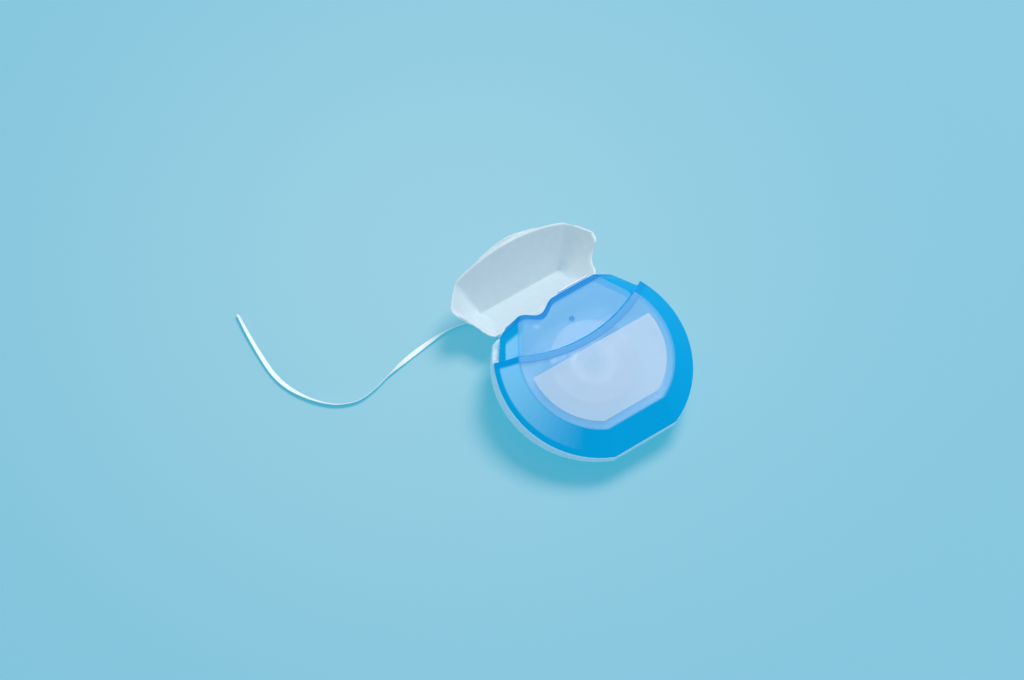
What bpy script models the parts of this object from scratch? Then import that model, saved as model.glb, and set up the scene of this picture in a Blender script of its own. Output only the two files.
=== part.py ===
"""Tape dispenser for cleaning between teeth: a round two-part case that stands propped on its open lid.

Metres, +Z up. The case is modelled flat in its own frame: X along the lid's hinge, Y towards the hinge,
Z out of the front face, with zero at the middle of the round outline on the joint between the two shells.
A tilted parent then stands it on the table, on its lower back edge and on the fold of the open lid.
"""

import math

import bpy
from mathutils import Matrix, Vector

# Case outline, seen along Z
case_half_width = 0.0300
case_half_length = 0.0306
bottom_cut = 0.0021
bottom_flat = case_half_length - bottom_cut

# Depths of the two shells
front_height = 0.0071
rim_height = 0.0010
back_depth = 0.0111

# Hinge, and the lid's end wall, which leans out from the hinge to the fold
hinge_setback = 0.0070
hinge_rise = 0.0005
end_lean = 0.0053
hinge_y = case_half_length - hinge_setback
hinge_z = hinge_rise - back_depth
fold_y = hinge_y + end_lean
fold_half_width = 0.0152
lid_wall = 0.0010
lid_open_angle = math.radians(120.3)
hinge_bead_radius = 0.00035
hinge_half_length = 0.0165
window_centre_x = 0.0125
window_width = 0.0028
window_reach = 0.0026

# Raised front face
flank_run = 0.0066
flank_run_length = 0.0067
flank_run_flat = 0.0069
face_half_width = case_half_width - flank_run
face_half_length = case_half_length - flank_run_length
face_flat = bottom_flat - flank_run_flat
face_edge_radius = 0.0006
lid_inner_radius = 0.0014

# Thumb lip on the middle of the lid's free edge: it hangs a little way over the raised front face
lip_half_length = 0.0105
lip_setback = 0.00015
lip_reach = 0.0009 + lip_setback
lip_rise = 0.0008
lip_clearance = 0.0002
lip_root = 0.0022
lip_sink = 0.0004
lip_steps = 24

# Back of the case
back_taper_width = 0.0030
back_taper_length = 0.0036
back_taper_flat = 0.0050
back_shift = 0.0025
back_half_width = case_half_width - back_taper_width
back_half_length = case_half_length - back_taper_length
back_flat = bottom_flat - back_taper_flat
band_depth_bottom = 0.0032
band_rise_top = 0.0016
band_depth_top = back_depth - band_rise_top

# Arc where the lid meets the raised front face
seam_radius = 0.04625
seam_front_y = 0.00625
seam_centre_y = seam_front_y + seam_radius


def where_seam_meets(half_width, half_length):
    """How far along Y the arc crosses an ellipse round the middle of the case."""
    square = 1 - (half_width / half_length) ** 2
    constant = half_width**2 + seam_centre_y**2 - seam_radius**2
    return constant / (seam_centre_y + math.sqrt(seam_centre_y**2 - square * constant))


seam_corner_y = where_seam_meets(case_half_width, case_half_length)
face_kink_y = where_seam_meets(face_half_width, face_half_length)

# Edge of the lid's cheek against the back: shares of the way to the hinge and of the back's depth
seam_way_shares = (0, 0.12, 0.46, 0.67, 0.76, 0.88)
seam_depth_shares = (0, 0.24, 0.27, 0.46, 0.70, 0.88)

# Recessed top of the front shell, under the lid
recess_step = 0.0013
recess_root_setback = 0.0094
recess_side_setback = 0.0024
base_side_inset = 0.0035
base_corner_inset = 0.0096
base_corner_setback = 0.0029
base_shoulder_inset = 0.0130
base_end_setback = 0.0012
column_side_inset = 0.0005
top_side_inset = 0.0037
top_corner_inset = 0.0090
top_corner_setback = 0.0027
top_shoulder_inset = 0.0099
top_end_setback = 0.0015
recess_root_y = seam_corner_y - recess_root_setback
recess_side_y = seam_corner_y - recess_side_setback
recess_base_side_x = case_half_width - base_side_inset
recess_base_corner = (case_half_width - base_corner_inset, hinge_y - base_corner_setback)
recess_base_shoulder_x = case_half_width - base_shoulder_inset
recess_base_end_y = hinge_y - base_end_setback
recess_top_side_x = face_half_width - top_side_inset
recess_top_corner = (face_half_width - top_corner_inset, hinge_y - top_corner_setback)
recess_top_shoulder_x = face_half_width - top_shoulder_inset
recess_top_end_y = hinge_y - top_end_setback
notch_half_width = 0.0060
notch_margin = 0.0002
notch_x = notch_half_width + notch_margin - recess_top_shoulder_x
notch_depth = 0.0027
dimple_setback = 0.0102
dimple_y = hinge_y - dimple_setback
dimple_radius = 0.0006
dimple_depth = 0.0003

# Walls and clearances
wall = 0.0012
gap = 0.0003
hinge_clearance = 0.00065
end_floor = 0.0016
overrun = 0.0050

# Grip ribs on the bottom flat
rib_count = 12
rib_pitch = 0.00125
rib_radius = 0.00035
rib_top_depth = 0.0006
rib_bottom_depth = 0.0028

# Hub and spool
hub_radius = 0.0036
hub_top = 0.0020
hub_bore_radius = 0.0015
core_hub_wall = 0.0013
core_rim_wall = 0.0012
core_bore_radius = hub_radius + gap
core_hub_radius = core_bore_radius + core_hub_wall
core_radius = 0.0080
core_rim_inner_radius = core_radius - core_rim_wall
core_floor_clearance = 0.0005
core_height = 0.0104
core_bottom = wall - back_depth + core_floor_clearance
core_top = core_bottom + core_height
core_web_thickness = 0.0016

# Tape
roll_radius = 0.0133
roll_inset = 0.0006
roll_bottom = core_bottom + roll_inset
roll_top = core_top - roll_inset
tape_width = 0.00155
band_width = 0.0015
tape_thickness = 0.00025
wound_radius = roll_radius + gap + tape_thickness
turn_count = 4
turn_pitch = 0.0020
turn_points = 24
guide_post_from_notch = 0.0025
guide_post_setback = 0.0064
guide_post = (notch_x - guide_post_from_notch, hinge_y - guide_post_setback)
guide_post_radius = 0.0010
guide_post_top = 0.0030
outlet_width = 0.0026
outlet_depth = 0.0024

# Steel cutter beside the notch
cutter_from_notch = 0.0025
cutter_left_x = notch_x + notch_half_width + cutter_from_notch
cutter_length = 0.0106
cutter_below_face = 0.0015
cutter_top = front_height - cutter_below_face
cutter_height = 0.0040
cutter_thickness = 0.0003
tooth_count = 14
tooth_height = 0.0006

# Clear label on the front face
label_margin = 0.0025
label_margin_length = 0.0026
label_margin_flat = 0.0027
label_from_seam = 0.00325
label_half_width = face_half_width - label_margin
label_half_length = face_half_length - label_margin_length
label_flat = face_flat - label_margin_flat
label_top_y = seam_front_y - label_from_seam
label_thickness = 0.00012
label_gap = 0.00005

# How finely round stretches are cut
arc_steps = 20
upper_steps = 8
notch_steps = 12
round_steps = 48
seam_arc_steps = 64
edge_round_steps = 3
seam_steps_per_span = 3

# Route of the inner tape outside the roll, as shares: of the way from the notch to the hinge window, of the
# notch's depth beyond the end wall, and of the depth down to the hinge; then the lean of its width, in degrees
lead_shares = (
    (-0.10, -1.60, 0.15, 0),
    (0.01, -1.04, 0.13, 0),
    (0.02, -0.56, 0.13, 5),
    (0.23, -0.19, 0.19, 20),
    (0.58, 0.08, 0.38, 50),
    (0.87, 0.17, 0.58, 75),
    (1, 0.17, 0.74, 88),
    (1, 0.22, 0.81, 90),
    (1, 0.35, 0.85, 90),
)
lead_start_share = 0.28
lead_middle_share = 0.22

# Route of the free tape on the table, in the frame of the whole object
tail_route = (
    (-0.0125, 0.01483, 0.01145),
    (-0.0125, 0.01548, 0.01040),
    (-0.0126, 0.01573, 0.00920),
    (-0.0128, 0.01598, 0.0072),
    (-0.0131, 0.01668, 0.0046),
    (-0.0135, 0.01828, 0.0022),
    (-0.0141, 0.02088, 0.0011),
    (-0.0150, 0.02448, 0.0009),
    (-0.0171, 0.02788, 0.0008),
    (-0.0207, 0.03008, 0.0008),
    (-0.0269, 0.03078, 0.0008),
    (-0.0327, 0.03028, 0.0008),
    (-0.0407, 0.02908, 0.0008),
    (-0.0490, 0.02728, 0.0008),
    (-0.0556, 0.02528, 0.0008),
    (-0.0614, 0.02458, 0.0008),
    (-0.0660, 0.02588, 0.0008),
    (-0.0698, 0.02838, 0.0008),
    (-0.0739, 0.03318, 0.0008),
    (-0.0772, 0.03948, 0.0008),
    (-0.0787, 0.04588, 0.0008),
    (-0.0788, 0.05308, 0.0008),
    (-0.0781, 0.06338, 0.0008),
    (-0.0772, 0.07098, 0.0008),
)
tail_radius = tape_width / 2
tail_steps_per_span = 2


def clear_scene():
    for item in list(bpy.data.objects):
        bpy.data.objects.remove(item)


def make_material(name, colour, roughness, metallic=0.0, transmission=0.0):
    material = bpy.data.materials.new(name)
    material.use_nodes = True
    shader = material.node_tree.nodes["Principled BSDF"]
    shader.inputs["Base Color"].default_value = (*colour, 1.0)
    shader.inputs["Roughness"].default_value = roughness
    shader.inputs["Metallic"].default_value = metallic
    shader.inputs["Transmission Weight"].default_value = transmission
    return material


def make_empty(name, parent=None, location=(0, 0, 0), turn_x=0.0):
    empty = bpy.data.objects.new(name, None)
    bpy.context.scene.collection.objects.link(empty)
    empty.parent = parent
    empty.location = location
    empty.rotation_euler = (turn_x, 0, 0)
    return empty


def make_object(name, points, faces, parent, material=None):
    mesh = bpy.data.meshes.new(name)
    mesh.from_pydata(points, [], faces)
    mesh.update()
    mesh.shade_smooth()
    mesh.set_sharp_from_angle(angle=math.radians(30))
    item = bpy.data.objects.new(name, mesh)
    bpy.context.scene.collection.objects.link(item)
    item.parent = parent
    if material:
        mesh.materials.append(material)
    return item


def make_loft(name, rings, parent, material=None):
    """A closed solid through rings of equally many points, the lowest ring first, each seen anticlockwise."""
    count = len(rings[0])
    points = [point for ring in rings for point in ring]
    faces = [tuple(reversed(range(count)))]
    for level in range(len(rings) - 1):
        low = level * count
        high = low + count
        for i in range(count):
            j = (i + 1) % count
            faces.append((low + i, low + j, high + j, high + i))
    last = (len(rings) - 1) * count
    faces.append(tuple(range(last, last + count)))
    return make_object(name, points, faces, parent, material)


def make_turned(name, profile, centre, parent, material=None, closed_profile=False):
    """A solid turned about Z: profile points are (radius, z), from the bottom of the axis up, or a closed ring."""
    points = []
    faces = []
    for step in range(round_steps):
        angle = step * math.tau / round_steps
        for radius, z in profile:
            points.append((centre[0] + radius * math.cos(angle), centre[1] + radius * math.sin(angle), z))
    count = len(profile)
    spans = count if closed_profile else count - 1
    for step in range(round_steps):
        here = step * count
        there = (step + 1) % round_steps * count
        for i in range(spans):
            j = (i + 1) % count
            faces.append((here + i, there + i, there + j, here + j))
    if not closed_profile:
        faces.append(tuple(reversed([step * count for step in range(round_steps)])))
        faces.append(tuple(step * count + count - 1 for step in range(round_steps)))
    return make_object(name, points, faces, parent, material)


def make_prism_x(name, outline, half_length, parent, centre_x=0.0):
    """A solid of one (y, z) outline, anticlockwise as seen from +X, drawn out along X."""
    rings_x = (centre_x - half_length, centre_x + half_length)
    count = len(outline)
    points = [(x, y, z) for x in rings_x for y, z in outline]
    faces = [tuple(reversed(range(count))), tuple(range(count, count + count))]
    for i in range(count):
        j = (i + 1) % count
        faces.append((i, j, count + j, count + i))
    return make_object(name, points, faces, parent)


def use_as_cutter(item):
    item.hide_render = True
    item.display_type = "WIRE"
    return item


def combine(item, other, operation):
    """Cut, join or intersect, as the operation says, and leave the other solid as a hidden tool."""
    use_as_cutter(other)
    step = item.modifiers.new(operation.lower() + "_" + other.name, "BOOLEAN")
    step.operation = operation
    step.object = other
    step.solver = "EXACT"
    return item


def smooth_through(route, steps):
    """Points of one smooth curve through the route's own points."""
    ends = [route[0]] + list(route) + [route[-1]]
    points = []
    for before, here, there, after in zip(ends, ends[1:], ends[2:], ends[3:]):
        for i in range(steps):
            t = i / steps
            point = [
                (
                    2 * b
                    + (c - a) * t
                    + (2 * a - 5 * b + 4 * c - d) * t**2
                    + (3 * b - a - 3 * c + d) * t**3
                )
                / 2
                for a, b, c, d in zip(before, here, there, after)
            ]
            points.append(tuple(point))
    points.append(tuple(route[-1]))
    return points


def ellipse_side(half_width, half_length, centre_y, low_y, high_y, steps):
    """Points up the right side of an ellipse between two places along Y, both ends included."""
    low = math.asin((low_y - centre_y) / half_length)
    high = math.asin((high_y - centre_y) / half_length)
    points = []
    for i in range(steps + 1):
        angle = low + (high - low) * i / steps
        points.append((half_width * math.cos(angle), centre_y + half_length * math.sin(angle)))
    return points


def mirrored(side):
    """A whole outline, anticlockwise from the bottom right, from its right side."""
    return side + [(-x, y) for x, y in reversed(side)]


def end_wall_y(z):
    """Where the outer face of the lid's end wall lies at a height: it leans out from the hinge to the fold."""
    return hinge_y + (fold_y - hinge_y) * (z - hinge_z) / (front_height - hinge_z)


def round_outline(half_width, half_length, centre_y, flat, turn_y, top_y, top_half_width=None):
    """A rounded outline with a bottom flat and a straight top. Its upper sides run straight if a width is given."""
    side = ellipse_side(half_width, half_length, centre_y, -flat, turn_y, arc_steps)
    if top_half_width is None:
        side += ellipse_side(half_width, half_length, centre_y, turn_y, top_y, upper_steps)[1:]
    else:
        turn_x = side[-1][0]
        for i in range(1, upper_steps + 1):
            share = i / upper_steps
            side.append((turn_x + (top_half_width - turn_x) * share, turn_y + (top_y - turn_y) * share))
    return mirrored(side)


def rim_outline(inset, z):
    """The case's full outline at a height, drawn in by the thickness of a wall."""
    return round_outline(
        case_half_width - inset,
        case_half_length - inset,
        0,
        bottom_flat - inset,
        seam_corner_y,
        end_wall_y(z) - inset,
    )


def face_outline(inset, z, end_inset):
    """The outline of the front face, whose upper sides run straight to the fold."""
    return round_outline(
        face_half_width - inset,
        face_half_length - inset,
        0,
        face_flat - inset,
        face_kink_y,
        end_wall_y(z) - end_inset,
        fold_half_width - inset,
    )


def back_outline(inset, z):
    """The outline of the flat back, which lies nearer the hinge than the front does."""
    return round_outline(
        back_half_width - inset,
        back_half_length - inset,
        back_shift,
        back_flat - inset,
        seam_corner_y,
        end_wall_y(z) - inset,
    )


def at_height(outline, z):
    return [(x, y, z) for x, y in outline]


def along_band(outline, raise_by=0.0):
    """Lift each point of an outline to the lower edge of the upright band, which deepens towards the hinge."""
    slope = (band_depth_top - band_depth_bottom) / (hinge_y + bottom_flat)
    return [(x, y, raise_by - band_depth_bottom - slope * (y + bottom_flat)) for x, y in outline]


def edge_arc(edge_radius):
    """The rounding between flank and front face: how far each step lies inwards of the sharp edge and below it."""
    turn = math.atan2(front_height - rim_height, flank_run)
    reach = edge_radius * math.tan(turn / 2)
    steps = []
    for i in range(edge_round_steps + 1):
        angle = turn * (1 - i / edge_round_steps)
        steps.append((reach - edge_radius * math.sin(angle), edge_radius * (1 - math.cos(angle))))
    return steps


def flank_rings(inset, edge_radius):
    """Rings from the top of the upright rim over the rounded edge to the front face, drawn in by one wall."""
    rise = front_height - rim_height
    length = math.hypot(flank_run, rise)
    rim_z = rim_height - inset * (length - rise) / flank_run
    face_inset = inset * (length - flank_run) / rise
    rings = [at_height(rim_outline(inset, rim_z), rim_z)]
    for along, drop in edge_arc(edge_radius):
        z = front_height - inset - drop
        rings.append(at_height(face_outline(face_inset + along, z, inset + max(along, 0)), z))
    return rings


def back_rings(inset):
    """Rings from the flat back up to the lower edge of the upright band."""
    back_z = inset - back_depth
    inner_shift = inset / 2
    return [
        at_height(back_outline(inset + inner_shift, back_z), back_z),
        along_band(rim_outline(inset, -band_depth_top), inner_shift),
    ]


def notched_edge(half_width, end_y):
    """The straight end edge of the recess from right to left, with the tape's notch dipped into it."""
    right = notch_x + notch_half_width
    left = notch_x - notch_half_width
    points = [(half_width, end_y)]
    for i in range(notch_steps + 1):
        x = right + (left - right) * i / notch_steps
        dip = notch_depth * (1 + math.cos(math.pi * (x - notch_x) / notch_half_width)) / 2
        points.append((x, end_y - dip))
    points.append((-half_width, end_y))
    return points


def recess_outline(side_x, corner, shoulder_x, end_y, inset=0.0):
    """Outline of the part of the case that the lid covers, from well inside the raised front to its notched end."""
    side = [
        (side_x - inset, recess_root_y - inset),
        (side_x - inset, recess_side_y - inset / 2),
        (corner[0] - inset, corner[1] - inset),
    ]
    end = notched_edge(shoulder_x - inset, end_y - inset)
    return side + end + [(-x, y) for x, y in reversed(side)]


def recess_base(inset=0.0):
    return recess_outline(
        recess_base_side_x, recess_base_corner, recess_base_shoulder_x, recess_base_end_y, inset
    )


def column_base(inset=0.0):
    """Outline of the back's column, which stands in a little from the recess on either side."""
    corner = (recess_base_corner[0] - column_side_inset, recess_base_corner[1])
    side_x = recess_base_side_x - column_side_inset
    return recess_outline(side_x, corner, recess_base_shoulder_x, recess_base_end_y, inset)


def recess_top(inset=0.0):
    return recess_outline(recess_top_side_x, recess_top_corner, recess_top_shoulder_x, recess_top_end_y, inset)


def seam_cylinder(name, radius, low, high, parent):
    """A round post whose wall is the arc where the lid meets the raised front face."""
    ring = []
    for i in range(seam_arc_steps):
        angle = -math.pi / 2 + (i - seam_arc_steps / 2) * math.pi / seam_arc_steps
        ring.append((radius * math.cos(angle), seam_centre_y + radius * math.sin(angle)))
    ring.append((radius, seam_centre_y))
    return make_loft(name, [at_height(ring, low), at_height(ring, high)], parent)


def seam_profile(shift):
    """The (y, z) line under the lid's cheek, shifted outwards by a clearance, from the joint to the hinge."""
    marks = [
        (seam_corner_y + (hinge_y - seam_corner_y) * way + shift, shift - back_depth * depth)
        for way, depth in zip(seam_way_shares, seam_depth_shares)
    ]
    return smooth_through(marks, seam_steps_per_span)


def front_rings(inset, bottom_z):
    return [at_height(rim_outline(inset, bottom_z), bottom_z)] + flank_rings(inset, face_edge_radius)


def make_front_shell(parent, material):
    """The clear blue front: a raised face, a lower recess that the lid covers, and a notch for the tape."""
    floor_z = front_height - recess_step
    shell = make_loft("front_shell", front_rings(0, 0), parent, material)
    combine(shell, seam_cylinder("front_seam", seam_radius, -overrun, front_height + overrun, parent), "DIFFERENCE")
    block = make_loft(
        "front_recess", [at_height(recess_base(), 0), at_height(recess_top(), floor_z)], parent, material
    )
    combine(shell, block, "UNION")
    hollow = make_loft("front_hollow", front_rings(wall, -overrun), parent)
    inner_seam = seam_cylinder("front_inner_seam", seam_radius + wall, -overrun - gap, front_height, parent)
    combine(hollow, inner_seam, "DIFFERENCE")
    combine(shell, hollow, "DIFFERENCE")
    recess_hollow = make_loft(
        "front_recess_hollow",
        [
            at_height(recess_base(wall), -gap),
            at_height(recess_base(wall), 0),
            at_height(recess_top(wall), floor_z - wall),
        ],
        parent,
    )
    combine(shell, recess_hollow, "DIFFERENCE")
    dimple = make_turned(
        "front_dimple",
        [(dimple_radius / 3, floor_z - dimple_depth), (dimple_radius, floor_z), (dimple_radius, floor_z + gap)],
        (0, dimple_y),
        parent,
    )
    combine(shell, dimple, "DIFFERENCE")
    return shell


def make_back_shell(parent, material):
    """The white back: a tray with the spool's hub, an end column for the tape outlet, and grip ribs."""
    top_z = -gap
    shell = make_loft("back_shell", back_rings(0) + [at_height(rim_outline(0, top_z), top_z)], parent, material)
    end_y = hinge_y - hinge_clearance
    seam = seam_profile(0)
    outline = seam + [(end_y, seam[-1][1] - gap), (end_y, -back_depth - overrun)]
    outline += [(case_half_length + overrun, -back_depth - overrun), (case_half_length + overrun, overrun)]
    outline.append((seam_corner_y, overrun))
    combine(shell, make_prism_x("back_lid_room", outline, case_half_width + overrun, parent), "DIFFERENCE")
    column_bottom = seam[-1][1] - gap
    column = make_loft(
        "back_column", [at_height(column_base(), column_bottom), at_height(column_base(), top_z)], parent
    )
    combine(shell, column, "UNION")
    hollow = make_loft("back_hollow", back_rings(wall) + [at_height(rim_outline(wall, gap), gap)], parent)
    limit = seam_corner_y - wall
    cap = [(limit, -back_depth - overrun), (case_half_length, -back_depth - overrun)]
    cap += [(case_half_length, overrun), (limit, overrun)]
    combine(hollow, make_prism_x("back_hollow_limit", cap, case_half_width + overrun, parent), "DIFFERENCE")
    combine(shell, hollow, "DIFFERENCE")
    column_hollow = make_loft(
        "back_column_hollow",
        [at_height(column_base(wall), end_floor - back_depth), at_height(column_base(wall), gap)],
        parent,
    )
    combine(shell, column_hollow, "DIFFERENCE")
    add_hub(shell, parent)
    outlet_y = (recess_base_end_y - notch_depth - wall / 2, recess_base_end_y)
    outlet = [(outlet_y[0] - wall, -outlet_depth), (outlet_y[1], -outlet_depth)]
    outlet += [(outlet_y[1], overrun), (outlet_y[0] - wall, overrun)]
    combine(shell, make_prism_x("back_outlet", outlet, outlet_width / 2, parent, notch_x), "DIFFERENCE")
    return shell


def add_hub(shell, parent):
    floor_z = wall / 2 - back_depth
    hub = make_turned(
        "back_hub",
        [
            (hub_radius, floor_z),
            (hub_radius, hub_top - gap),
            (hub_radius - gap, hub_top),
            (hub_bore_radius, hub_top),
            (hub_bore_radius, floor_z + wall),
        ],
        (0, 0),
        parent,
    )
    combine(shell, hub, "UNION")
    post = make_turned(
        "back_guide_post", [(guide_post_radius, floor_z), (guide_post_radius, guide_post_top)], guide_post, parent
    )
    combine(shell, post, "UNION")
    first_x = -rib_pitch * (rib_count - 1) / 2
    for i in range(rib_count):
        x = first_x + rib_pitch * i
        ring = [(x - rib_radius, wall / 2 - bottom_flat), (x, -bottom_flat - rib_radius)]
        ring += [(x + rib_radius, wall / 2 - bottom_flat)]
        rib = make_loft(
            "back_rib_" + str(i + 1), [at_height(ring, -rib_bottom_depth), at_height(ring, -rib_top_depth)], parent
        )
        combine(shell, rib, "UNION")


def on_hinge(item):
    """Hang a piece that was modelled in the closed case on the hinge's pivot."""
    item.matrix_parent_inverse = Matrix.Translation((0, -hinge_y, -hinge_z))
    return item


def make_lid(pivot, material):
    """The lid: front panel, slanted end wall and two cheeks, in one thin wall that matches the case's outline."""
    rings = back_rings(0) + flank_rings(0, face_edge_radius)
    lid = on_hinge(make_loft("lid", rings, pivot, material))
    outline = [(-overrun, gap)] + seam_profile(gap)
    outline.append((hinge_y - hinge_clearance, hinge_z + hinge_clearance))
    outline.append((fold_y + overrun, hinge_z + hinge_clearance))
    outline += [(fold_y + overrun, front_height + overrun), (-overrun, front_height + overrun)]
    room = on_hinge(make_prism_x("lid_room", outline, case_half_width + overrun, pivot))
    combine(lid, room, "INTERSECT")
    low = -back_depth - overrun - overrun
    post = on_hinge(seam_cylinder("lid_seam", seam_radius - gap, low, front_height + overrun, pivot))
    combine(lid, post, "INTERSECT")
    inner_low = -back_depth - overrun
    inner = [at_height(rim_outline(lid_wall, inner_low), inner_low)] + flank_rings(lid_wall, lid_inner_radius)
    hollow = on_hinge(make_loft("lid_hollow", inner, pivot))
    combine(lid, hollow, "DIFFERENCE")
    add_lip(lid, pivot)
    cut_windows(lid, pivot)
    return lid


def lip_outline(reach, root):
    """The lip's outline from its free edge back over the lid's panel; it dies away towards both ends."""
    radius = seam_radius - gap
    front = []
    rear = []
    for i in range(1, lip_steps):
        x = lip_half_length * (2 * i / lip_steps - 1)
        swell = math.cos(math.pi * x / (2 * lip_half_length)) ** 2
        edge_y = seam_centre_y + lip_setback - math.sqrt(radius**2 - x**2)
        front.append((x, edge_y - reach * swell))
        rear.append((x, edge_y + root * math.sqrt(swell)))
    tip_y = seam_centre_y + lip_setback - math.sqrt(radius**2 - lip_half_length**2)
    return [(-lip_half_length, tip_y)] + front + [(lip_half_length, tip_y)] + list(reversed(rear))


def add_lip(lid, pivot):
    """A lip to open the lid by: it rises from the panel and reaches just clear of the front face."""
    low = front_height - lip_sink
    under = front_height + lip_clearance
    top = front_height + lip_rise
    rings = [
        at_height(lip_outline(0, lip_root), low),
        at_height(lip_outline(0, lip_root), under),
        at_height(lip_outline(lip_reach, lip_root), under + lip_clearance / 2),
        at_height(lip_outline(lip_reach, lip_root / 2), top),
    ]
    combine(lid, on_hinge(make_loft("lid_lip", rings, pivot)), "UNION")


def hinge_rod_outline(radius):
    points = []
    for i in range(arc_steps):
        angle = i * math.tau / arc_steps
        points.append((hinge_y + radius * math.cos(angle), hinge_z + radius * math.sin(angle)))
    return points


def cut_windows(lid, pivot):
    """A window in the lid's root at each end of the hinge's middle web."""
    for side, name in ((-1, "left"), (1, "right")):
        window = make_prism_x(
            "lid_window_" + name, hinge_rod_outline(window_reach), window_width / 2, pivot, side * window_centre_x
        )
        combine(lid, on_hinge(window), "DIFFERENCE")


def make_hinge(parent, material):
    """The thin webs that join lid and back: a long middle one and a short one beyond each window."""
    inner = window_centre_x - window_width / 2
    outer = window_centre_x + window_width / 2
    hinges = [make_prism_x("living_hinge", hinge_rod_outline(hinge_bead_radius), inner, parent)]
    for side, name in ((-1, "left"), (1, "right")):
        centre = side * (outer + hinge_half_length) / 2
        half = (hinge_half_length - outer) / 2
        hinges.append(
            make_prism_x("living_hinge_" + name, hinge_rod_outline(hinge_bead_radius), half, parent, centre)
        )
    for hinge in hinges:
        hinge.data.materials.append(material)
    return hinges


def make_label(parent, material):
    side = ellipse_side(label_half_width, label_half_length, 0, -label_flat, label_top_y, arc_steps)
    low = front_height + label_gap
    outline = mirrored(side)
    return make_loft(
        "label_film", [at_height(outline, low), at_height(outline, low + label_thickness)], parent, material
    )


def make_cutter(parent, material):
    """A thin steel blade against the end wall, beside the notch, with teeth along its upper edge."""
    low = cutter_top - cutter_height
    base = cutter_top - tooth_height
    outline = [(cutter_left_x, low), (cutter_left_x + cutter_length, low)]
    pitch = cutter_length / tooth_count
    for i in range(tooth_count):
        right = cutter_left_x + cutter_length - i * pitch
        outline.append((right, base))
        outline.append((right - pitch / 2, cutter_top))
    outline.append((cutter_left_x, base))
    near = recess_base_end_y + gap
    far = near + cutter_thickness
    count = len(outline)
    points = [(x, y, z) for y in (far, near) for x, z in outline]
    faces = [tuple(reversed(range(count))), tuple(range(count, count + count))]
    for i in range(count):
        j = (i + 1) % count
        faces.append((i, j, count + j, count + i))
    return make_object("cutter_blade", points, faces, parent, material)


def make_spool_core(parent, material):
    """The spool's core: hub tube, web and rim in one turned ring."""
    middle = (core_bottom + core_top) / 2
    half_web = core_web_thickness / 2
    profile = [
        (core_bore_radius, core_bottom),
        (core_hub_radius, core_bottom),
        (core_hub_radius, middle - half_web),
        (core_rim_inner_radius, middle - half_web),
        (core_rim_inner_radius, core_bottom),
        (core_radius, core_bottom),
        (core_radius, core_top),
        (core_rim_inner_radius, core_top),
        (core_rim_inner_radius, middle + half_web),
        (core_hub_radius, middle + half_web),
        (core_hub_radius, core_top),
        (core_bore_radius, core_top),
    ]
    return make_turned("spool_core", profile, (0, 0), parent, material, closed_profile=True)


def make_tape_roll(parent, material):
    """The wound tape under its outer layer, as one plain ring."""
    inner = core_radius + gap
    profile = [(inner, roll_bottom), (roll_radius, roll_bottom), (roll_radius, roll_top), (inner, roll_top)]
    return make_turned("tape_roll", profile, (0, 0), parent, material, closed_profile=True)


def make_outer_turns(parent, material):
    """The outer layer of the winding: one unbroken band that climbs steadily round the roll."""
    inner = wound_radius - tape_thickness
    outer = wound_radius
    first_z = (roll_bottom + roll_top) / 2 - turn_pitch * turn_count / 2
    points = []
    for i in range(turn_count * turn_points + 1):
        turns = i / turn_points
        angle = turns * math.tau
        z = first_z + turn_pitch * turns
        for radius, height in ((inner, -1), (outer, -1), (outer, 1), (inner, 1)):
            points.append((radius * math.cos(angle), radius * math.sin(angle), z + height * band_width / 2))
    faces = [(0, 1, 2, 3)]
    for i in range(turn_count * turn_points):
        here = i * 4
        for corner in range(4):
            after = (corner + 1) % 4
            faces.append((here + corner, here + 4 + corner, here + 4 + after, here + after))
    last = turn_count * turn_points * 4
    faces.append((last + 3, last + 2, last + 1, last))
    per_turn = turn_points * 4
    tops = points[2 : len(points) - per_turn : 4]
    least = min(points[i * 4 + 1 + per_turn][2] - top[2] for i, top in enumerate(tops))
    print("least gap between turns of the tape:", round(least * 1000, 3), "mm")
    return make_object("tape_outer_turns", points, faces, parent, material)


def lead_places():
    """Places of the inner tape in the case frame, each with the lean of its width: straight off the roll first."""
    places = []
    for across, out, down, lean in lead_shares:
        x = notch_x - (window_centre_x + notch_x) * across
        places.append((x, recess_base_end_y + notch_depth * out, hinge_z * down, lean))
    outlet = places[0]
    radius = wound_radius + gap + tape_thickness / 2
    angle = math.atan2(outlet[1], outlet[0]) + math.acos(radius / math.hypot(outlet[0], outlet[1]))
    start = (radius * math.cos(angle), radius * math.sin(angle))
    middle = ((start[0] + outlet[0]) / 2, (start[1] + outlet[1]) / 2)
    return [(*start, hinge_z * lead_start_share, 0), (*middle, hinge_z * lead_middle_share, 0)] + places


def make_lead(parent, material):
    """The tape inside: straight off the roll, out at the notch, down the end wall and through the hinge window."""
    steps = smooth_through(lead_places(), 2)
    places = [Vector(step[:3]) for step in steps]
    points = []
    for i, step in enumerate(steps):
        along = places[min(i + 1, len(places) - 1)] - places[max(i - 1, 0)]
        lean = math.radians(step[3])
        across = Vector((-math.sin(lean), 0, math.cos(lean)))
        across = (across - along * across.dot(along) / along.length_squared).normalized()
        out = across.cross(along).normalized()
        for wide, thick in ((-1, -1), (1, -1), (1, 1), (-1, 1)):
            points.append(tuple(places[i] + across * wide * band_width / 2 + out * thick * tape_thickness / 2))
    faces = [(0, 1, 2, 3)]
    for i in range(len(places) - 1):
        here = i * 4
        for corner in range(4):
            after = (corner + 1) % 4
            faces.append((here + corner, here + 4 + corner, here + 4 + after, here + after))
    last = (len(places) - 1) * 4
    faces.append((last + 3, last + 2, last + 1, last))
    return make_object("tape_lead", points, faces, parent, material)


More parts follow.
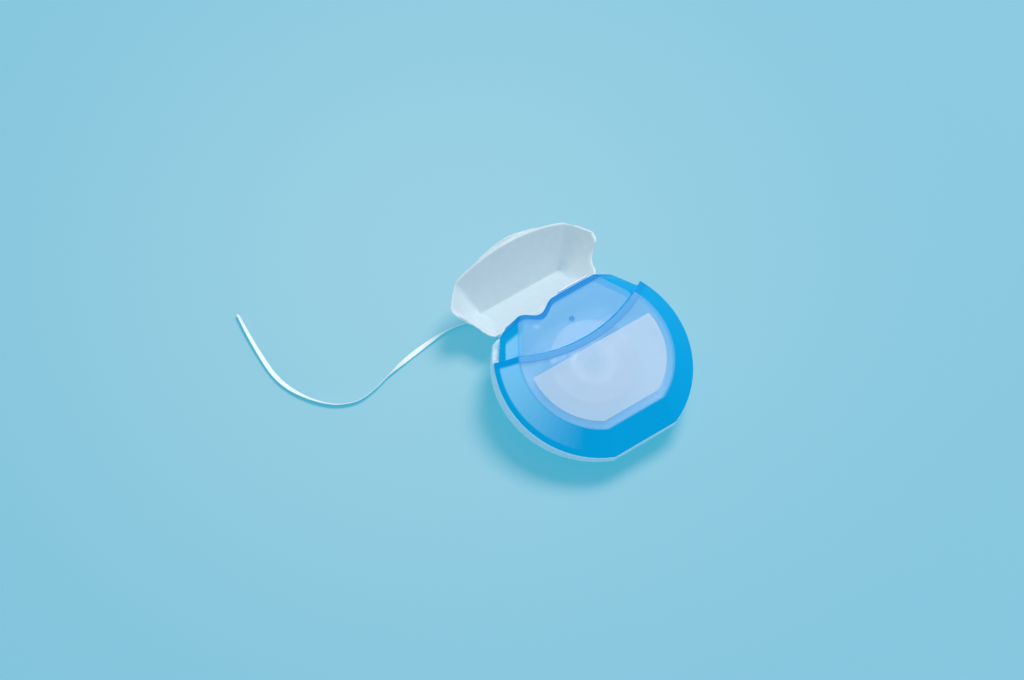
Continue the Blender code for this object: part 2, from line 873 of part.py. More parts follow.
def make_tail(material):
    """The free tape from the hinge window to its cut end, as a plain tube of the tape's width."""
    curve = bpy.data.curves.new("tape_tail", "CURVE")
    curve.dimensions = "3D"
    curve.bevel_depth = tail_radius
    curve.bevel_resolution = 2
    curve.use_fill_caps = True
    spline = curve.splines.new("POLY")
    points = smooth_through(tail_route, tail_steps_per_span)
    spline.points.add(len(points) - 1)
    for spot, place in zip(spline.points, points):
        spot.co = (*place, 1)
    curve.materials.append(material)
    tail = bpy.data.objects.new("tape_tail", curve)
    bpy.context.scene.collection.objects.link(tail)
    return tail


def opened(y, z):
    """Where a (y, z) place of the closed lid goes when the lid opens."""
    away = y - hinge_y
    up = z - hinge_z
    c = math.cos(lid_open_angle)
    s = math.sin(lid_open_angle)
    return hinge_y + away * c + up * s, hinge_z - away * s + up * c


def stance():
    """The case's tilt and the height of its own origin, from its two lines of contact with the table."""
    folds = [
        opened(end_wall_y(front_height - drop) - max(along, 0), front_height - drop)
        for along, drop in edge_arc(face_edge_radius)
    ]
    fold = min(folds, key=lambda place: place[1])
    edge = (-back_flat, -back_depth)
    tilt = -math.atan2(fold[1] - edge[1], fold[0] - edge[0])
    height = -(edge[0] * math.sin(tilt) + edge[1] * math.cos(tilt))
    return tilt, height


def centre_on_origin(ground, pieces):
    """Shift the standing object so that the middle of its box, without the free tape, is over the origin."""
    bpy.context.view_layer.update()
    graph = bpy.context.evaluated_depsgraph_get()
    places = []
    for piece in pieces:
        evaluated = piece.evaluated_get(graph)
        mesh = evaluated.to_mesh()
        places += [evaluated.matrix_world @ vertex.co for vertex in mesh.vertices]
        evaluated.to_mesh_clear()
    for axis in (0, 1):
        values = [place[axis] for place in places]
        ground.location[axis] -= (min(values) + max(values)) / 2
    ground.location[2] -= min(place[2] for place in places)


def build():
    clear_scene()
    blue = make_material("clear_blue_plastic", (0.02, 0.42, 0.90), 0.25, transmission=0.6)
    white = make_material("milky_plastic", (0.86, 0.92, 0.94), 0.40, transmission=0.2)
    tape_white = make_material("white_tape", (0.93, 0.95, 0.96), 0.35)
    core_grey = make_material("white_spool_plastic", (0.90, 0.92, 0.94), 0.45)
    steel = make_material("bright_steel", (0.75, 0.77, 0.80), 0.22, metallic=1.0)
    film = make_material("clear_film", (0.70, 0.85, 0.98), 0.20, transmission=0.5)

    tilt, height = stance()
    ground = make_empty("ground")
    case = make_empty("case", ground, (0, 0, height), tilt)
    pivot = make_empty("lid_pivot", case, (0, hinge_y, hinge_z), -lid_open_angle)
    spindle = make_empty("spool_pivot", case)

    pieces = [
        make_front_shell(case, blue),
        make_back_shell(case, white),
        make_lid(pivot, white),
        make_label(case, film),
        make_cutter(case, steel),
        make_spool_core(spindle, core_grey),
        make_tape_roll(spindle, tape_white),
        make_outer_turns(spindle, tape_white),
        make_lead(case, tape_white),
    ]
    pieces += make_hinge(case, white)
    centre_on_origin(ground, pieces)
    make_tail(tape_white)


build()
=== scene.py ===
"""Looks of the dental tape dispenser: milky shells, clear blue front, wound tape and a loose end."""

import math

import bmesh
import bpy
from mathutils import Matrix, Vector

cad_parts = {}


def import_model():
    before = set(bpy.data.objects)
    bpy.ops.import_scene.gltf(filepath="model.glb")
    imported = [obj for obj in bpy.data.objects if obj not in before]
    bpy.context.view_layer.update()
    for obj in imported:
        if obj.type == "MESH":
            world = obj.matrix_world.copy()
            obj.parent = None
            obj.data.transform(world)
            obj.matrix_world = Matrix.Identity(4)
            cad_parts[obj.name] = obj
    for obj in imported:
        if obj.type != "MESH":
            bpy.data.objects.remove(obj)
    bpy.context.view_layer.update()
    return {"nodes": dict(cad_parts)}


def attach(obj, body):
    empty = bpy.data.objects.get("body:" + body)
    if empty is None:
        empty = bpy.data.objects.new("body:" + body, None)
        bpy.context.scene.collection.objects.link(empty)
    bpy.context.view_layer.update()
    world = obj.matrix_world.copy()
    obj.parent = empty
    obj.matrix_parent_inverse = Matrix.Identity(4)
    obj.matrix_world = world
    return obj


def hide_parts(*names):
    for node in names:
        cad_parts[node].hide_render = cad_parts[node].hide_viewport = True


# How the case stands, as in the model: its own frame is tilted about X on the table
case_place = (0, -0.010199, 0.015833)
case_tilt = 0.213771
case_normal = (0, -math.sin(case_tilt), math.cos(case_tilt))
case_along = (0, math.cos(case_tilt), math.sin(case_tilt))

# Camera, as the photograph's: measured round the middle of the case's outline
camera_azimuth = math.radians(-33.21)
camera_elevation = math.radians(59.118)
camera_distance = 0.7775
camera_shift_right = 0.024331
camera_shift_up = -0.006471
camera_lens = 91.41
camera_sensor = 36
camera_near = 0.01

# Light: a soft sky and one large lamp, aimed at the middle of the table
sky_colour = (0.80, 0.95, 1.0)
sky_strength = 0.42
key_place = (0.90, 0.36, 1.93)
key_side = 0.85
key_power = 37

# Table: a painted pool of light, brightest round one spot and fading to the far colour, with a faint painted
# glow that keeps its shadows from going black
table_painted_lit_colour = (0.312, 0.290, 0.270)
table_far_colour = (0.236, 0.240, 0.238)
table_painted_light_spot = (-0.02, 0.05, 0.0)
table_painted_light_fade = 0.19
table_glow = (0.0, 0.31, 0.47)
table_roughness = 0.75
table_gloss = 0.1
table_size = 4.0

# Fine unevenness of every moulded or rolled surface; each material says how fine
bump_height = 0.00002
bump_strength = 0.4
bump_detail = 3
mottle_from = 0.3
mottle_to = 0.7

# Clear blue plastic: base colours, and painted glows that stand for the light that comes through from the
# white inside
blue_dense = (0.0, 0.11, 0.22)
blue_dense_glow = (0.0, 0.25, 0.54)
blue_wall = (0.0, 0.05, 0.12)
blue_wall_glow = (0.0, 0.20, 0.58)
blue_thin = (0.17, 0.41, 0.68)
blue_thin_glow = (0.0, 0.05, 0.14)
# Painted lit look of the left flank: a paler base colour and glow
blue_painted_lit = (0.20, 0.56, 0.92)
blue_painted_lit_glow = (0.05, 0.15, 0.20)
blue_roughness = 0.3
blue_gloss = 0.05
blue_grain = 400

# How far a surface faces the front, from 0 to 1: where it turns thin, how much it covers, and what is outside
dense_facing = 0.94
thin_facing = 0.985
blue_cover = ((0.10, 0.04), (0.42, 0.90), (0.50, 1.0), (dense_facing, 1.0), (thin_facing, 0.55))
outer_facing = (0.3, 0.5)

# The flank is painted paler on its left, as painted light on that side: the way it faces there, how the
# painted light fades, and the dense rim under it
painted_light_side = (-0.94, 0.34, 0.0)
painted_light_fade = ((0.60, 0.0), (0.70, 0.35), (0.83, 1.0))
rim_band = (0.0020, 0.0025)
corner_band = (0.0182, 0.0166)

# Where walls under the clear top make it look denser: by the recess' notched end, and in front of the arc
end_edge_y = 0.0221
end_band = (-0.0020, -0.0014)
notch_x = -0.0073
notch_half_width = 0.0060
notch_depth = 0.0027
seam_centre_y = 0.0525
seam_radius = 0.04625
seam_band = (0.0480, 0.0490)
seam_wall_share = 0.4

# The dimple's steep wall: where it lies along the case, the soft edges of its ring, and how dense it looks
dimple_y = 0.0134
dimple_outer = (0.0010, 0.0006)
dimple_inner = (0.0004, 0.0002)
dimple_wall_share = 0.85

# Milky plastic: base colours, and painted glows for the light that comes through it from behind, bluer on the
# back, which lies under the clear blue front
lid_white = ((0.43, 0.485, 0.515), (0.47, 0.515, 0.545))
lid_glow = (0.185, 0.25, 0.29)
back_white = ((0.42, 0.48, 0.52), (0.46, 0.52, 0.56))
back_glow = (0.08, 0.22, 0.33)
milky_roughness = 0.38
milky_ior = 1.49
milky_scatter_share = 0.35
milky_scatter_reach = (0.9, 1.0, 1.0)
milky_scatter_depth = 0.0015
milky_cover = 0.88
milky_grain = 350

# Waxed tape
tape_base = (0.84, 0.90, 0.93)
tape_streaks = ((0.78, 0.85, 0.90), (0.88, 0.93, 0.97))
tape_roughness = 0.32
tape_scatter_share = 0.2
tape_scatter_reach = (1, 1, 1)
tape_scatter_depth = 0.0004
tape_grain = 900
tape_stretch = (1, 1, 5)

# Spool, with a painted glow that lights it inside the case
spool_colour = (0.90, 0.92, 0.94)
spool_glow = (0.17, 0.20, 0.22)
spool_roughness = 0.45
spool_grain = 500

# Steel strip, with a painted glow that lifts it out of its shade
strip_colour = (0.88, 0.90, 0.94)
strip_glow = (0.24, 0.25, 0.22)
strip_roughness = 0.35
strip_metal = 0.3
strip_polish = (0.30, 0.45)
strip_grain = 600
strip_stretch = (1, 12, 12)

# Clear film
film_colour = (0.63, 0.76, 0.86)
film_roughness = 0.25
film_cover = 0.30
film_gloss = 0.3
film_grain = 250

# Rounding of the moulded edges
merge_distance = 0.00001
skin_voxel = 0.00022
skin_smoothing = 0.5
skin_kept_share = 0.3
front_smooth_passes = 12
lid_smooth_passes = 20
back_voxel = 0.00016
back_smooth_passes = 3

# Rounding of the small pieces
film_round = 0.00003
strip_round = 0.00004
spool_round = 0.00012
turns_round = 0.00006
lead_round = 0.00004
round_segments = 3
flat_angle = math.radians(0.5)
sharp_angle = math.radians(32)

# The webs of the living hinge: how much they swell, to run into the moulding on either side
web_swell = 0.00036

# The lid's cheeks are evened out further: from where to where across and up, how often, and where they turn
cheek_from_x = 0.0142
cheek_to_x = 0.0225
cheek_to_z = 0.0170
cheek_smooth_passes = 90
cheek_least_turn = 0.12

# The back's rim at the recess' right is drawn in under the clear front: where this starts, and how far
tuck_from = (0.0215, 0.0143, -0.0032)
tuck_shift = (-0.0008, -0.0006)

# Free tape: its middle line down to the table and along it, and how far it leans over from lying flat
tape_width = 0.00155
tape_thickness = 0.00012
tail_steps_per_span = 6
tail_hangs_above = 0.002
tail_least_flat = 0.3
tail_route = (
    (-0.0125, 0.01483, 0.01145),
    (-0.0125, 0.01548, 0.01040),
    (-0.0126, 0.01573, 0.00920),
    (-0.0128, 0.01598, 0.0072),
    (-0.0131, 0.01668, 0.0046),
    (-0.0135, 0.01828, 0.0022),
    (-0.0141, 0.02088, 0.0011),
    (-0.0150, 0.02448, 0.0009),
    (-0.0171, 0.02788, 0.0008),
    (-0.0207, 0.03008, 0.0008),
    (-0.0269, 0.03078, 0.0008),
    (-0.0327, 0.03028, 0.0008),
    (-0.0407, 0.02908, 0.0008),
    (-0.0490, 0.02728, 0.0008),
    (-0.0556, 0.02528, 0.0008),
    (-0.0614, 0.02458, 0.0008),
    (-0.0660, 0.02588, 0.0008),
    (-0.0698, 0.02838, 0.0008),
    (-0.0739, 0.03318, 0.0008),
    (-0.0772, 0.03948, 0.0008),
    (-0.0787, 0.04588, 0.0008),
    (-0.0788, 0.05308, 0.0008),
    (-0.0781, 0.06338, 0.0008),
    (-0.0772, 0.07098, 0.0008),
)
tail_leans = (
    (0, 0, 0, 0, 0, -10, -20, -30, -40, -45, -48, -20)
    + (0, -55, -64, -58, -55, -50, -42, -22, -14, -22, -38, -56)
)


def new_material(name, colour, roughness, metallic=0.0):
    material = bpy.data.materials.new(name)
    material.use_nodes = True
    shader = material.node_tree.nodes["Principled BSDF"]
    shader.inputs["Base Color"].default_value = (*colour, 1.0)
    shader.inputs["Roughness"].default_value = roughness
    shader.inputs["Metallic"].default_value = metallic
    return material, material.node_tree.nodes, material.node_tree.links, shader


def set_glow(shader, glow):
    """An even glow in one colour."""
    shader.inputs["Emission Color"].default_value = (*glow, 1)
    shader.inputs["Emission Strength"].default_value = 1.0


def add_fine_bump(nodes, links, shader, scale, stretch=(1, 1, 1)):
    """A faint moulded or rolled unevenness of the surface."""
    place = nodes.new("ShaderNodeTexCoord")
    mapping = nodes.new("ShaderNodeMapping")
    mapping.inputs["Scale"].default_value = stretch
    noise = nodes.new("ShaderNodeTexNoise")
    noise.inputs["Scale"].default_value = scale
    noise.inputs["Detail"].default_value = bump_detail
    bump = nodes.new("ShaderNodeBump")
    bump.inputs["Strength"].default_value = bump_strength
    bump.inputs["Distance"].default_value = bump_height
    links.new(place.outputs["Object"], mapping.inputs["Vector"])
    links.new(mapping.outputs["Vector"], noise.inputs["Vector"])
    links.new(noise.outputs["Fac"], bump.inputs["Height"])
    links.new(bump.outputs["Normal"], shader.inputs["Normal"])
    return noise.outputs["Fac"]


def add_ramp(nodes, links, source, stops):
    """A ramp with these stops, fed by one value; a stop is a place with a colour or a plain number."""
    ramp = nodes.new("ShaderNodeValToRGB")
    points = ramp.color_ramp.elements
    points.remove(points[1])
    for i, (place, value) in enumerate(stops):
        point = points[0] if i == 0 else points.new(place)
        point.position = place
        colour = value if isinstance(value, tuple) else (value, value, value)
        point.color = (*colour, 1)
    links.new(source, ramp.inputs["Fac"])
    return ramp.outputs["Color"]


def add_sum(nodes, links, operation, first, second=None):
    """One step of arithmetic on the outputs of other nodes, or on plain numbers."""
    step = nodes.new("ShaderNodeMath")
    step.operation = operation
    for socket, value in zip(step.inputs, (first, second)):
        if isinstance(value, (int, float)):
            socket.default_value = value
        elif value is not None:
            links.new(value, socket)
    return step.outputs["Value"]


def add_steps(nodes, links, value, low, high):
    """A soft step from 0 at the low value to 1 at the high one."""
    share = nodes.new("ShaderNodeMapRange")
    share.interpolation_type = "SMOOTHSTEP"
    share.inputs["From Min"].default_value = low
    share.inputs["From Max"].default_value = high
    links.new(value, share.inputs["Value"])
    return share.outputs["Result"]


def add_mix(nodes, links, share, first, second):
    """Two colours mixed by a value; each is a colour or the output of another node."""
    mix = nodes.new("ShaderNodeMix")
    mix.data_type = "RGBA"
    links.new(share, mix.inputs["Factor"])
    for name, colour in (("A", first), ("B", second)):
        if isinstance(colour, tuple):
            mix.inputs[name].default_value = (*colour, 1)
        else:
            links.new(colour, mix.inputs[name])
    return mix.outputs["Result"]


def add_along(nodes, links, what, direction):
    """How far the place, or the way that the surface faces, reaches along one direction."""
    place = nodes.new("ShaderNodeTexCoord")
    along = nodes.new("ShaderNodeVectorMath")
    along.operation = "DOT_PRODUCT"
    along.inputs[1].default_value = direction
    links.new(place.outputs[what], along.inputs[0])
    return along.outputs["Value"]


def add_facing(nodes, links, direction):
    """How far the surface, as moulded, faces one direction: from 0, straight away, to 1, straight at it."""
    share = nodes.new("ShaderNodeMapRange")
    share.inputs["From Min"].default_value = -1
    links.new(add_along(nodes, links, "Normal", direction), share.inputs["Value"])
    return share.outputs["Result"]


def add_rim_height(nodes, links):
    """0 in the dense rim over the joint of the shells, and 1 above it."""
    start = Vector(case_place).dot(Vector(case_normal))
    low, high = (start + height for height in rim_band)
    return add_steps(nodes, links, add_along(nodes, links, "Object", case_normal), low, high)


def add_case_places(nodes, links):
    """The place on the case across it, from its middle, and along it towards the hinge."""
    start = Vector(case_place).dot(Vector(case_along))
    y = add_sum(nodes, links, "SUBTRACT", add_along(nodes, links, "Object", case_along), start)
    place = nodes.new("ShaderNodeTexCoord")
    split = nodes.new("ShaderNodeSeparateXYZ")
    links.new(place.outputs["Object"], split.inputs["Vector"])
    return split.outputs["X"], y


def add_distance(nodes, links, centre_y):
    """How far away a point of the case's middle line is."""
    x, y = add_case_places(nodes, links)
    down = add_sum(nodes, links, "SUBTRACT", y, centre_y)
    squares = [add_sum(nodes, links, "POWER", reach, 2) for reach in (x, down)]
    return add_sum(nodes, links, "SQRT", add_sum(nodes, links, "ADD", *squares))


def add_end_band(nodes, links):
    """1 within a wall's reach of the recess' notched end."""
    x, y = add_case_places(nodes, links)
    from_notch = add_sum(nodes, links, "ABSOLUTE", add_sum(nodes, links, "SUBTRACT", x, notch_x))
    way = add_sum(nodes, links, "MULTIPLY", from_notch, math.pi / notch_half_width)
    swell = add_sum(nodes, links, "COSINE", add_sum(nodes, links, "MINIMUM", way, math.pi))
    dip = add_sum(nodes, links, "MULTIPLY_ADD", swell, notch_depth / 2)
    dip.node.inputs[2].default_value = notch_depth / 2 - end_edge_y
    return add_steps(nodes, links, add_sum(nodes, links, "ADD", y, dip), *end_band)


def add_seam_band(nodes, links):
    """1 just in front of the arc where the raised face begins."""
    away = add_distance(nodes, links, seam_centre_y)
    begun = add_steps(nodes, links, away, seam_radius - skin_voxel, seam_radius)
    ended = add_steps(nodes, links, away, *seam_band)
    return add_sum(nodes, links, "SUBTRACT", begun, ended)


def add_dimple_ring(nodes, links):
    """1 on the steep wall of the dimple in the recess."""
    away = add_distance(nodes, links, dimple_y)
    outer = add_steps(nodes, links, away, *dimple_outer)
    inner = add_steps(nodes, links, away, *dimple_inner)
    return add_sum(nodes, links, "SUBTRACT", outer, inner)


def add_painted_light_share(nodes, links, seam):
    """How much painted light makes the flank paler: most where it faces left, but not in its rim, the seam's
    band or the corner.
    """
    left = add_ramp(nodes, links, add_facing(nodes, links, painted_light_side), painted_light_fade)
    painted_lit = add_sum(nodes, links, "MULTIPLY", left, add_rim_height(nodes, links))
    painted_lit = add_sum(nodes, links, "MULTIPLY", painted_lit, add_sum(nodes, links, "SUBTRACT", 1, seam))
    y = add_case_places(nodes, links)[1]
    return add_sum(nodes, links, "MULTIPLY", painted_lit, add_steps(nodes, links, y, *corner_band))


def add_wall_share(nodes, links, front, seam):
    """How much of a wall lies under the outer surface."""
    seam_wall = add_sum(nodes, links, "MULTIPLY", seam, seam_wall_share)
    wall = add_sum(nodes, links, "MAXIMUM", add_end_band(nodes, links), seam_wall)
    dimple_wall = add_sum(nodes, links, "MULTIPLY", add_dimple_ring(nodes, links), dimple_wall_share)
    wall = add_sum(nodes, links, "MAXIMUM", wall, dimple_wall)
    return add_sum(nodes, links, "MULTIPLY", wall, add_steps(nodes, links, front, *outer_facing))


def make_clear_blue():
    """Clear blue plastic: thin on the flat face, dense at walls and rim, with painted light making it paler
    to the left.
    """
    material, nodes, links, shader = new_material("clear_blue", blue_dense, blue_roughness)
    shader.inputs["Specular IOR Level"].default_value = blue_gloss
    front = add_facing(nodes, links, case_normal)
    seam = add_seam_band(nodes, links)
    painted_lit = add_painted_light_share(nodes, links, seam)
    wall = add_wall_share(nodes, links, front, seam)
    for socket, dense_look, thin_look, painted_lit_look, wall_look in (
        ("Base Color", blue_dense, blue_thin, blue_painted_lit, blue_wall),
        ("Emission Color", blue_dense_glow, blue_thin_glow, blue_painted_lit_glow, blue_wall_glow),
    ):
        look = add_ramp(nodes, links, front, ((dense_facing, dense_look), (thin_facing, thin_look)))
        # Mixes in the painted light that makes the left flank paler
        look = add_mix(nodes, links, painted_lit, look, painted_lit_look)
        look = add_mix(nodes, links, wall, look, wall_look)
        links.new(look, shader.inputs[socket])
    # The glows are painted light, standing for light that comes through from the white inside
    shader.inputs["Emission Strength"].default_value = 1.0
    cover = add_ramp(nodes, links, front, blue_cover)
    cover = add_sum(nodes, links, "MAXIMUM", cover, add_sum(nodes, links, "MAXIMUM", seam, wall))
    links.new(cover, shader.inputs["Alpha"])
    add_fine_bump(nodes, links, shader, blue_grain)
    return material


def make_milky(name, whites, glow):
    """Milky white plastic with a painted glow for a little light coming through it."""
    material, nodes, links, shader = new_material(name, whites[0], milky_roughness)
    shader.inputs["IOR"].default_value = milky_ior
    shader.inputs["Subsurface Weight"].default_value = milky_scatter_share
    shader.inputs["Subsurface Radius"].default_value = milky_scatter_reach
    shader.inputs["Subsurface Scale"].default_value = milky_scatter_depth
    shader.inputs["Alpha"].default_value = milky_cover
    # A painted glow, standing in for light that comes through the plastic
    set_glow(shader, glow)
    noise = add_fine_bump(nodes, links, shader, milky_grain)
    mottled = add_ramp(nodes, links, noise, ((mottle_from, whites[0]), (mottle_to, whites[1])))
    links.new(mottled, shader.inputs["Base Color"])
    return material


def make_tape_white():
    """Waxed white tape: a soft sheen with fine streaks along it."""
    material, nodes, links, shader = new_material("waxed_tape", tape_base, tape_roughness)
    shader.inputs["Subsurface Weight"].default_value = tape_scatter_share
    shader.inputs["Subsurface Radius"].default_value = tape_scatter_reach
    shader.inputs["Subsurface Scale"].default_value = tape_scatter_depth
    noise = add_fine_bump(nodes, links, shader, tape_grain, tape_stretch)
    streaked = add_ramp(nodes, links, noise, ((mottle_from, tape_streaks[0]), (mottle_to, tape_streaks[1])))
    links.new(streaked, shader.inputs["Base Color"])
    return material


def make_spool_white():
    material, nodes, links, shader = new_material("spool_white", spool_colour, spool_roughness)
    # A painted glow that lights the spool inside the case
    set_glow(shader, spool_glow)
    add_fine_bump(nodes, links, shader, spool_grain)
    return material


def make_steel():
    """Bright rolled strip with fine lines along it, lit further by a painted glow."""
    material, nodes, links, shader = new_material("bright_strip", strip_colour, strip_roughness, strip_metal)
    set_glow(shader, strip_glow)
    noise = add_fine_bump(nodes, links, shader, strip_grain, strip_stretch)
    polish = nodes.new("ShaderNodeMapRange")
    polish.inputs["To Min"].default_value = strip_polish[0]
    polish.inputs["To Max"].default_value = strip_polish[1]
    links.new(noise, polish.inputs["Value"])
    links.new(polish.outputs["Result"], shader.inputs["Roughness"])
    return material


def make_film():
    """Clear label film, which lightens the blue under it."""
    material, nodes, links, shader = new_material("clear_film", film_colour, film_roughness)
    shader.inputs["Alpha"].default_value = film_cover
    shader.inputs["Specular IOR Level"].default_value = film_gloss
    add_fine_bump(nodes, links, shader, film_grain)
    return material


def make_table_material():
    material, nodes, links, shader = new_material("pale_table", table_painted_lit_colour, table_roughness)
    shader.inputs["Specular IOR Level"].default_value = table_gloss
    # The table's colour is a painted pool of light, lightest round one spot
    place = nodes.new("ShaderNodeTexCoord")
    away = nodes.new("ShaderNodeVectorMath")
    away.operation = "DISTANCE"
    away.inputs[1].default_value = table_painted_light_spot
    links.new(place.outputs["Object"], away.inputs[0])
    share = add_steps(nodes, links, away.outputs["Value"], 0, table_painted_light_fade)
    links.new(add_mix(nodes, links, share, table_painted_lit_colour, table_far_colour), shader.inputs["Base Color"])
    # A painted glow, which keeps the table's shadows from going black
    set_glow(shader, table_glow)
    return material


def link(item):
    bpy.context.scene.collection.objects.link(item)
    return item


def copy_mesh(frame, node, name, material):
    mesh = frame["nodes"][node].data.copy()
    mesh.name = name
    mesh.materials.clear()
    mesh.materials.append(material)
    return mesh


def open_form(mesh):
    """The mesh opened for changes, with the corners that its faces share made one."""
    form = bmesh.new()
    form.from_mesh(mesh)
    bmesh.ops.remove_doubles(form, verts=form.verts, dist=merge_distance)
    return form


def close_form(form, mesh):
    form.to_mesh(mesh)
    form.free()


def shade(mesh):
    """Smooth shading, apart from the sharp edges."""
    mesh.shade_smooth()
    mesh.set_sharp_from_angle(angle=sharp_angle)


def stand_for(piece, node, body):
    """The piece takes a node's place and moves with a body."""
    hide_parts(node)
    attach(piece, body)
    return piece


def tuck_rim(mesh):
    """Draws in the back's rim beside the recess on the right."""
    shift = Vector((tuck_shift[0], 0, 0)) + Vector(case_along) * tuck_shift[1]
    for vertex in mesh.vertices:
        reach = vertex.co - Vector(case_place)
        place = (reach.x, reach.dot(Vector(case_along)), reach.dot(Vector(case_normal)))
        if all(value > start for value, start in zip(place, tuck_from)):
            vertex.co += shift


def soften_cheeks(piece):
    """Evens out the lid's cheeks, where the faceted form has its steepest turns."""
    graph = bpy.context.evaluated_depsgraph_get()
    skin = bpy.data.meshes.new_from_object(piece.evaluated_get(graph))
    piece.modifiers.clear()
    form = bmesh.new()
    form.from_mesh(skin)
    cheeks = [
        spot
        for spot in form.verts
        if cheek_from_x < abs(spot.co.x) < cheek_to_x
        and spot.co.z < cheek_to_z
        and abs(spot.normal.x) > cheek_least_turn
    ]
    for _ in range(cheek_smooth_passes):
        bmesh.ops.smooth_vert(
            form, verts=cheeks, factor=skin_smoothing, use_axis_x=True, use_axis_y=True, use_axis_z=True
        )
    close_form(form, skin)
    piece.data = skin


def make_moulded(frame, node, name, material, body, voxel, passes):
    """A moulded piece: the node's form, with every edge and corner softened as in a mould."""
    mesh = copy_mesh(frame, node, name, material)
    if node == "back_shell":
        tuck_rim(mesh)
    close_form(open_form(mesh), mesh)
    piece = link(bpy.data.objects.new(name, mesh))
    remesh = piece.modifiers.new("even_skin", "REMESH")
    remesh.mode = "VOXEL"
    remesh.voxel_size = voxel
    remesh.use_smooth_shade = True
    soft = piece.modifiers.new("soft_edges", "SMOOTH")
    soft.factor = skin_smoothing
    soft.iterations = passes
    if node == "lid":
        soften_cheeks(piece)
    fewer = piece.modifiers.new("fewer_faces", "DECIMATE")
    fewer.ratio = skin_kept_share
    return stand_for(piece, node, body)


def make_rounded(frame, node, name, material, width, body):
    """A small piece: the node's form with its sharp edges rounded off."""
    mesh = copy_mesh(frame, node, name, material)
    form = open_form(mesh)
    bmesh.ops.dissolve_limit(
        form, angle_limit=flat_angle, verts=form.verts, edges=form.edges, delimit={"NORMAL"}
    )
    close_form(form, mesh)
    shade(mesh)
    piece = link(bpy.data.objects.new(name, mesh))
    bevel = piece.modifiers.new("rounding", "BEVEL")
    bevel.width = width
    bevel.segments = round_segments
    bevel.limit_method = "ANGLE"
    bevel.angle_limit = sharp_angle
    normals = piece.modifiers.new("flat_faces", "WEIGHTED_NORMAL")
    normals.keep_sharp = True
    return stand_for(piece, node, body)


def make_web(frame, node, name, material):
    """A web of the living hinge: a bead on the hinge's own line, which looks the same at every opening."""
    mesh = copy_mesh(frame, node, name, material)
    form = open_form(mesh)
    middle = sum((spot.co for spot in form.verts), Vector()) / len(form.verts)
    for spot in form.verts:
        out = spot.co - middle
        out.x = 0
        if out.length > 0:
            spot.co += out.normalized() * web_swell
    close_form(form, mesh)
    shade(mesh)
    return stand_for(link(bpy.data.objects.new(name, mesh)), node, "case")


def smooth_through(route, steps):
    """Points of one smooth curve through the route's own points."""
    ends = [route[0]] + list(route) + [route[-1]]
    points = []
    for before, here, there, after in zip(ends, ends[1:], ends[2:], ends[3:]):
        for i in range(steps):
            t = i / steps
            point = []
            for a, b, c, d in zip(before, here, there, after):
                bend = 2 * a - 5 * b + 4 * c - d
                twist = 3 * b - a - 3 * c + d
                point.append((2 * b + (c - a) * t + bend * t**2 + twist * t**3) / 2)
            points.append(tuple(point))
    points.append(tuple(route[-1]))
    return points


def make_tail_ring(form, place, along, lean):
    """The corners of the flat band round one point of its middle line."""
    flat = along.cross(Vector((0, 0, 1)))
    if flat.length < tail_least_flat or place.z > tail_hangs_above:
        flat = Vector((1, 0, 0)) - along * along.x
    flat.normalize()
    up = flat.cross(along).normalized()
    across = flat * math.cos(lean) + up * math.sin(lean)
    out = along.cross(across).normalized()
    ring = []
    for wide, thick in ((-1, -1), (0, -1), (1, -1), (1, 1), (0, 1), (-1, 1)):
        ring.append(form.verts.new(place + across * wide * tape_width / 2 + out * thick * tape_thickness / 2))
    return ring


def make_tail(material):
    """The free end of the tape: one thin flat band, turned over here and there as it lies."""
    joined = [(*place, lean) for place, lean in zip(tail_route, tail_leans)]
    steps = smooth_through(joined, tail_steps_per_span)
    places = [Vector(step[:3]) for step in steps]
    form = bmesh.new()
    rings = []
    for i, step in enumerate(steps):
        along = (places[min(i + 1, len(places) - 1)] - places[max(i - 1, 0)]).normalized()
        rings.append(make_tail_ring(form, places[i], along, math.radians(step[3])))
    for low, high in zip(rings, rings[1:]):
        for a, b, c, d in zip(low, low[1:] + low[:1], high[1:] + high[:1], high):
            form.faces.new((a, b, c, d))
    form.faces.new(list(reversed(rings[0])))
    form.faces.new(rings[-1])
    bmesh.ops.recalc_face_normals(form, faces=form.faces)
    mesh = bpy.data.meshes.new("tape_end")
    close_form(form, mesh)
    shade(mesh)
    mesh.materials.append(material)
    piece = stand_for(link(bpy.data.objects.new("tape_end", mesh)), "tape_tail", "case")


def make_table():
    mesh = bpy.data.meshes.new("table")
    half = table_size / 2
    corners = [(-half, -half, 0), (half, -half, 0), (half, half, 0), (-half, half, 0)]
    mesh.from_pydata(corners, [], [(0, 1, 2, 3)])
    mesh.materials.append(make_table_material())
    link(bpy.data.objects.new("table", mesh))


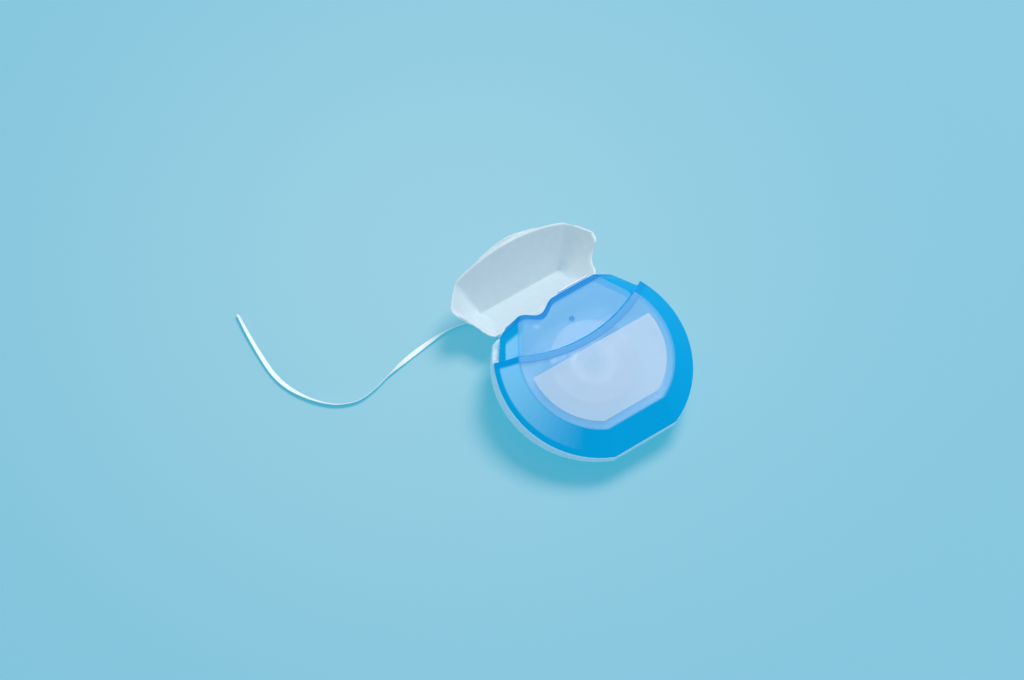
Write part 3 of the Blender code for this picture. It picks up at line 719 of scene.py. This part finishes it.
def make_camera():
    """The photograph's view, set from the middle of the case's outline."""
    a = camera_azimuth
    e = camera_elevation
    back = Vector((math.sin(a) * math.cos(e), -math.cos(a) * math.cos(e), math.sin(e)))
    right = Vector((math.cos(a), math.sin(a), 0))
    up = back.cross(right)
    camera = bpy.data.cameras.new("camera")
    camera.lens = camera_lens
    camera.sensor_width = camera_sensor
    camera.clip_start = camera_near
    item = link(bpy.data.objects.new("camera", camera))
    place = Vector(case_place) + back * camera_distance - right * camera_shift_right - up * camera_shift_up
    turn = Matrix((right, up, back)).transposed().to_4x4()
    item.matrix_world = Matrix.Translation(place) @ turn
    bpy.context.scene.camera = item


def make_light():
    world = bpy.data.worlds.new("soft_room")
    bpy.context.scene.world = world
    world.use_nodes = True
    sky = world.node_tree.nodes["Background"]
    sky.inputs["Color"].default_value = (*sky_colour, 1)
    sky.inputs["Strength"].default_value = sky_strength
    lamp = bpy.data.lights.new("key", "AREA")
    lamp.shape = "RECTANGLE"
    lamp.size = key_side
    lamp.size_y = key_side
    lamp.energy = key_power
    item = link(bpy.data.objects.new("key", lamp))
    item.location = key_place
    item.rotation_euler = Vector(key_place).to_track_quat("Z", "Y").to_euler()


def main():
    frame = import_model()
    make_camera()
    tape = make_tape_white()
    make_tail(tape)
    blue = make_clear_blue()
    lid_milky = make_milky("milky_lid_white", lid_white, lid_glow)
    back_milky = make_milky("milky_back_white", back_white, back_glow)
    spool = make_spool_white()
    for node, name, material, body, voxel, passes in (
        ("front_shell", "clear_front", blue, "case", skin_voxel, front_smooth_passes),
        ("back_shell", "milky_back", back_milky, "case", back_voxel, back_smooth_passes),
        ("lid", "milky_lid", lid_milky, "lid", skin_voxel, lid_smooth_passes),
    ):
        make_moulded(frame, node, name, material, body, voxel, passes)
    for side in ("", "_left", "_right"):
        make_web(frame, "living_hinge" + side, "hinge_web" + side, lid_milky)
    for node, name, material, width, body in (
        ("label_film", "bare_film", make_film(), film_round, "case"),
        ("cutter_blade", "steel_cutter", make_steel(), strip_round, "case"),
        ("spool_core", "white_core", spool, spool_round, "spool"),
        ("tape_roll", "wound_tape", tape, spool_round, "spool"),
        ("tape_outer_turns", "outer_turns", tape, turns_round, "spool"),
        ("tape_lead", "inner_tape", tape, lead_round, "case"),
    ):
        make_rounded(frame, node, name, material, width, body)
    make_table()
    make_light()
    bpy.context.scene.view_settings.view_transform = "Standard"


main()
